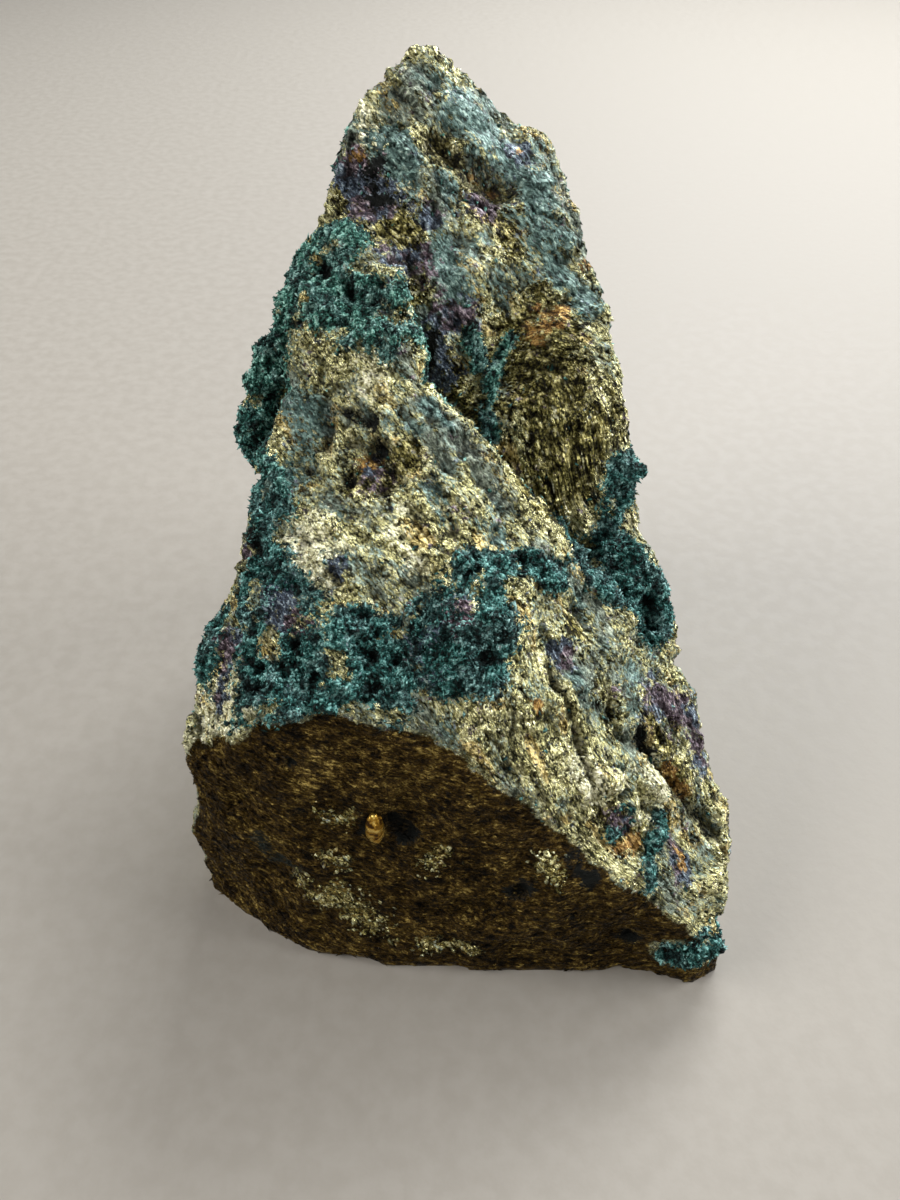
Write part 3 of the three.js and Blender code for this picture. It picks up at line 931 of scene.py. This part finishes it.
def ore_material(name):
    """Chalcopyrite, bare or under film, tarnish, rust and malachite, by the weights stored on the mesh."""
    s = Shader(name)
    drawn, spot = s.stored_place("drawn"), s.place()
    flake, off_middle = s.cells(drawn, FLAKES_PER_MM)
    plate, _ = s.cells(drawn, PLATES_PER_MM)
    lump, _ = s.cells(drawn, LUMPS_PER_MM)
    luck, plate_luck, lump_luck = s.first(flake), s.first(plate), s.first(lump)
    fine = s.noise(drawn, 3.0, 5.0, 0.75)
    broad = s.noise(spot, 0.9, 5.0, 0.70)
    patches = s.noise(spot, 0.28, 4.0, 0.6)
    tufts = s.noise(spot, 2.0, 5.0, 0.75)
    fibres = s.noise(drawn, 2.2, 6.0, 0.75)
    between = s.remap(off_middle, 0.45, 0.75)  # the gaps between flakes, also darkened in the colour as painted shade
    shine = s.total(0.03, (luck, 0.30), (plate_luck, 0.28), (fine, 0.42), (between, -0.20))

    gold = s.ramp(
        shine,
        (0.22, (0.016, 0.017, 0.009)), (0.39, (0.20, 0.19, 0.084)),
        (0.54, (0.60, 0.57, 0.27)), (0.70, (0.86, 0.83, 0.53)),
    )
    warm = s.ramp(
        shine, (0.22, (0.016, 0.011, 0.004)), (0.42, (0.32, 0.24, 0.075)), (0.64, (0.90, 0.73, 0.33))
    )
    gilt = s.ramp(
        shine, (0.26, (0.020, 0.015, 0.004)), (0.44, (0.50, 0.42, 0.12)), (0.60, (1.0, 0.93, 0.50))
    )
    # Pale gold whose near-white top end is partly a painted highlight.
    bright = s.ramp(
        shine, (0.20, (0.04, 0.04, 0.022)), (0.38, (0.62, 0.60, 0.34)), (0.58, (1.0, 0.98, 0.76))
    )
    # Amber gold, pulled darker in part as painted shade.
    amber = s.ramp(
        s.total(-0.25, (shine, 1.0), (broad, 0.40)),
        (0.22, (0.006, 0.005, 0.002)), (0.42, (0.090, 0.081, 0.024)),
        (0.58, (0.29, 0.255, 0.080)), (0.76, (0.80, 0.74, 0.37)),
    )
    threads = s.threads(drawn, 1.3)
    film_tone = s.total(0.0, (threads, 0.2), (fine, 0.42), (luck, 0.20), (broad, 0.18))
    grey_film = s.ramp(
        film_tone,
        (0.24, (0.007, 0.010, 0.007)), (0.44, (0.075, 0.096, 0.072)),
        (0.64, (0.235, 0.275, 0.210)), (0.86, (0.60, 0.66, 0.50)),
    )
    teal_film = s.ramp(
        film_tone,
        (0.24, (0.004, 0.012, 0.010)), (0.44, (0.050, 0.098, 0.086)),
        (0.64, (0.165, 0.265, 0.235)), (0.86, (0.48, 0.62, 0.54)),
    )
    teal_share = s.total(-0.45, (s.stored("teal"), 0.9), (patches, 0.6), (threads, 0.25))
    film = s.mix(s.remap(teal_share, -0.15, 0.35), grey_film, teal_film)
    purple = s.ramp(
        fine,
        (0.20, (0.008, 0.006, 0.007)), (0.48, (0.062, 0.038, 0.048)),
        (0.70, (0.15, 0.11, 0.14)), (0.92, (0.48, 0.40, 0.42)),
    )
    blue = s.ramp(
        fine,
        (0.20, (0.005, 0.007, 0.011)), (0.48, (0.032, 0.046, 0.072)),
        (0.70, (0.11, 0.15, 0.20)), (0.92, (0.40, 0.48, 0.52)),
    )
    tarnish = s.mix(s.remap(patches, 0.40, 0.60), purple, blue)
    rust = s.ramp(
        shine, (0.22, (0.016, 0.007, 0.002)), (0.46, (0.26, 0.130, 0.028)), (0.74, (0.74, 0.50, 0.17))
    )
    # The fresh fracture's brown, darkened further as painted shade for a face turned away from the light.
    brown = s.ramp(
        s.total(-0.14, (fibres, 0.50), (broad, 0.27), (luck, 0.24), (patches, 0.20)),
        (0.22, (0.002, 0.0014, 0.0004)), (0.42, (0.030, 0.017, 0.003)),
        (0.62, (0.095, 0.057, 0.011)), (0.84, (0.42, 0.31, 0.09)),
    )
    filmed = s.remap(s.total(-0.15, (s.stored("film"), 1.0), (fibres, -0.9)), -0.15, 0.35, 0.0, 0.70)
    front = s.mix(filmed, brown, FRONT_FILM)
    # Painted light on the crust: lighter on the tufts, which the bump raises, and painted shade in pits,
    # cracks and grooves (low).
    tops = s.total(-0.10, (tufts, 0.65), (luck, 0.15), (broad, 0.40), (s.stored("low"), -0.3))
    crust = malachite_colour(s, tops, spot)

    def chosen(kind, share, everywhere, field):
        """1 on about as much of the surface as share times the kind's weight, plus everywhere."""
        wanted = s.total(everywhere, (s.stored(kind), share), (field, -1.0))
        return s.remap(wanted, -0.06, 0.10)

    sparks = s.total(0.0, (luck, 0.6), (fine, 0.4))
    mixed = s.total(0.0, (broad, 0.6), (fine, 0.4))
    unmixed = s.total(1.0, (broad, -0.6), (tufts, -0.4))
    veil = s.remap(s.total(-1.15, (s.stored("veil"), 1.0), (fine, 1.5), (luck, 0.8)), -0.15, 0.15)
    broken = s.remap(s.total(-0.15, (s.stored("front"), 1.0), (fine, -0.4)), 0.0, 0.25)
    colour, metallic, roughness = gold, 0.9, s.remap(fine, 0.2, 0.8, 0.42, 0.22)
    # Where each layer lies, its colour, how metallic and how rough it is. Later ones cover earlier ones.
    layers = (
        (s.remap(lump_luck, 0.84, 0.90, 0.0, 0.85), warm, 0.9, 0.32),
        (chosen("amber", 0.70, 0.15, mixed), amber, 0.9, 0.32),
        (chosen("bright", 0.85, 0.06, luck), bright, 0.6, 0.30),
        (veil, film, 0.5, 0.45),
        (chosen("crust", 1.1, -0.05, fine), crust, 0.0, 0.80),
        (chosen("tarnish", 0.55, 0.23, unmixed), tarnish, 0.5, 0.45),
        (chosen("rust", 0.65, 0.04, mixed), rust, 0.6, 0.42),
        (broken, front, 0.85, 0.45),
        (chosen("glitter", 0.65, -0.10, sparks), gilt, 0.7, 0.25),
    )
    for layer, tint, metal, rough in layers:
        colour = s.mix(layer, colour, tint)
        metallic = s.lerp(layer, metallic, metal)
        roughness = s.lerp(layer, roughness, rough)
    # Painted shade: pits, cracks and grooves (low) and the shaded pits go towards near-black, matt and not
    # metallic.
    shaded_pits = s.remap(s.total(0.0, (s.stored("shaded_pits"), 1.0), (fibres, -0.5), (fine, -0.4)), 0.0, 0.25)
    dark = s.math("MAXIMUM", s.math("MULTIPLY", s.stored("low"), 0.75), shaded_pits)
    colour = s.mix(dark, colour, SHADOW)
    roughness = s.lerp(dark, roughness, 0.8)
    metallic = s.lerp(dark, metallic, 0.0)
    gloss = s.lerp(s.math("MAXIMUM", dark, s.stored("crust")), 0.5, 0.15)

    normal = s.tilted(s.vector("ADD", s.lean(flake), s.lean(plate)))
    height = s.lerp(s.stored("crust"), s.total(0.0, (fine, 0.6), (between, -0.5)), tufts)
    return s.finish(colour, metallic, roughness, gloss, s.bump(height, 0.8, 0.12, normal))


def nugget_material(name):
    """The nugget's deep orange gold."""
    s = Shader(name)
    spot = s.place()
    fine = s.noise(spot, 0.9, 5.0, 0.7)
    gold = s.ramp(
        fine, (0.2, (0.05, 0.020, 0.002)), (0.5, (0.50, 0.26, 0.025)), (0.85, (0.98, 0.72, 0.20))
    )
    return s.finish(gold, 0.9, s.remap(fine, 0.2, 0.8, 0.45, 0.25), 0.5, s.bump(fine, 0.5, 0.15))


def malachite_material(name):
    """The crumbs' malachite: the crust's colours with fine strands, a little lighter or darker by crumb."""
    s = Shader(name)
    spot = s.place()
    tufts = s.noise(spot, 2.0, 5.0, 0.75)
    broad = s.noise(spot, 0.9, 5.0, 0.70)
    strands = s.noise(spot, 6.0, 3.0, 0.7)
    # Painted light and shade: lighter on the tufts, darker in pits, cracks and grooves (low); the crumb's
    # luck adds its own tone.
    tops = s.total(
        -0.12, (tufts, 0.45), (broad, 0.40), (strands, 0.15),
        (s.stored("luck"), 0.25), (s.stored("low"), -0.3),
    )
    roughness = s.remap(strands, 0.2, 0.8, 0.45, 0.70)
    return s.finish(malachite_colour(s, tops, spot), 0.0, roughness, 0.2, s.bump(strands, 0.7, 0.08))


# ---------------------------------------------------------------- stage, light and camera

CAMERA_SENSOR = 36.0  # the sensor's long side
CAMERA_LENS = 27.03  # the focal length
CAMERA_DOWN = 44.4  # degrees below level
CAMERA_PLACE = (-1.05, -65.9, 84.4)
FLOOR_HALF = 2.0  # in metres
LIGHTS_AIM = 25.0  # the height that the lights are aimed at
SKY_COLOUR = (0.95, 0.98, 1.0, 1.0)
SKY_STRENGTH = 0.13


def camera():
    made = bpy.data.objects.new("camera", bpy.data.cameras.new("camera"))
    bpy.context.scene.collection.objects.link(made)
    made.data.lens = CAMERA_LENS
    made.data.sensor_width = CAMERA_SENSOR
    made.data.clip_start = 5.0 * MM
    made.location = Vector(CAMERA_PLACE) * MM
    made.rotation_euler = (math.radians(90.0 - CAMERA_DOWN), 0.0, 0.0)
    bpy.context.scene.camera = made


def floor():
    """A plain table top."""
    half = FLOOR_HALF
    corners = [(-half, -half, 0), (half, -half, 0), (half, half, 0), (-half, half, 0)]
    mesh = bpy.data.meshes.new("floor")
    mesh.from_pydata(corners, [], [(0, 1, 2, 3)])
    made = new_object("floor", mesh)
    s = Shader("floor")
    grain = s.noise(s.place(), 0.5, 3.0)
    colour = s.ramp(grain, (0.0, (0.25, 0.23, 0.20)), (1.0, (0.27, 0.25, 0.22)))
    roughness = s.remap(grain, 0.0, 1.0, 0.60, 0.70)
    mesh.materials.append(s.finish(colour, 0.0, roughness, 0.4, s.bump(grain, 0.1, 0.1)))


def area_light(name, turn, height, far, size_mm, watts, colour):
    """A soft light aimed at the specimen: degrees right of straight behind, degrees up, mm away."""
    made = bpy.data.objects.new(name, bpy.data.lights.new(name, "AREA"))
    bpy.context.scene.collection.objects.link(made)
    made.data.shape = "RECTANGLE"
    made.data.size, made.data.size_y = (side * MM for side in size_mm)
    made.data.energy = watts
    made.data.color = colour
    turn, height = math.radians(turn), math.radians(height)
    level = math.cos(height)
    way = Vector((math.sin(turn) * level, math.cos(turn) * level, math.sin(height)))
    made.location = way * far * MM + Vector((0.0, 0.0, LIGHTS_AIM * MM))
    made.rotation_euler = (-way).to_track_quat("-Z", "Y").to_euler()


def lights():
    area_light("window", 25.0, 38.0, 600.0, (380.0, 260.0), 6.1, (0.96, 0.98, 1.0))
    area_light("side", 88.0, 24.0, 560.0, (400.0, 260.0), 4.0, (0.98, 0.99, 1.0))
    area_light("left", -100.0, 36.0, 560.0, (360.0, 260.0), 3.0, (1.0, 0.98, 0.95))
    area_light("front", 175.0, 30.0, 560.0, (400.0, 200.0), 0.5, (1.0, 0.93, 0.84))
    world = bpy.data.worlds.new("studio")
    bpy.context.scene.world = world
    world.use_nodes = True
    sky = world.node_tree.nodes["Background"]
    sky.inputs["Color"].default_value = SKY_COLOUR
    sky.inputs["Strength"].default_value = SKY_STRENGTH


# ---------------------------------------------------------------- the whole

# How many grains of each sort. A grain has 8 triangles, and a piece stays under 200,000 of them.
ORE_GRAINS = 24000  # in each of two pieces
SLIVERS = 14000
CRYSTALS = 2200
CRUMBS = 24000


def settle(piece, material):
    """Gives a piece its material and slot, and has it ride on the root body."""
    piece.data.materials.append(material)
    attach(piece, "root")


body, weights = ore_body()
ore = ore_material("ore")
settle(body, ore)
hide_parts("specimen")
ground = Ground(body.data, weights)
settle(ore_grains("chalcopyrite_grains_a", ground, ORE_GRAINS, SEED + 200), ore)
settle(ore_grains("chalcopyrite_grains_b", ground, ORE_GRAINS, SEED + 201), ore)
settle(front_grains("fracture_slivers", ground, SLIVERS, SEED + 202), ore)
settle(bright_crystals("bright_crystals", ground, CRYSTALS, SEED + 204), ore)
settle(nugget("gold_nugget", ground), nugget_material("nugget_gold"))
crumbs = crust_grains("malachite_crumbs", ground, CRUMBS, SEED + 203)
settle(crumbs, malachite_material("malachite"))

floor()
lights()
camera()
bpy.context.scene.view_settings.view_transform = "Standard"
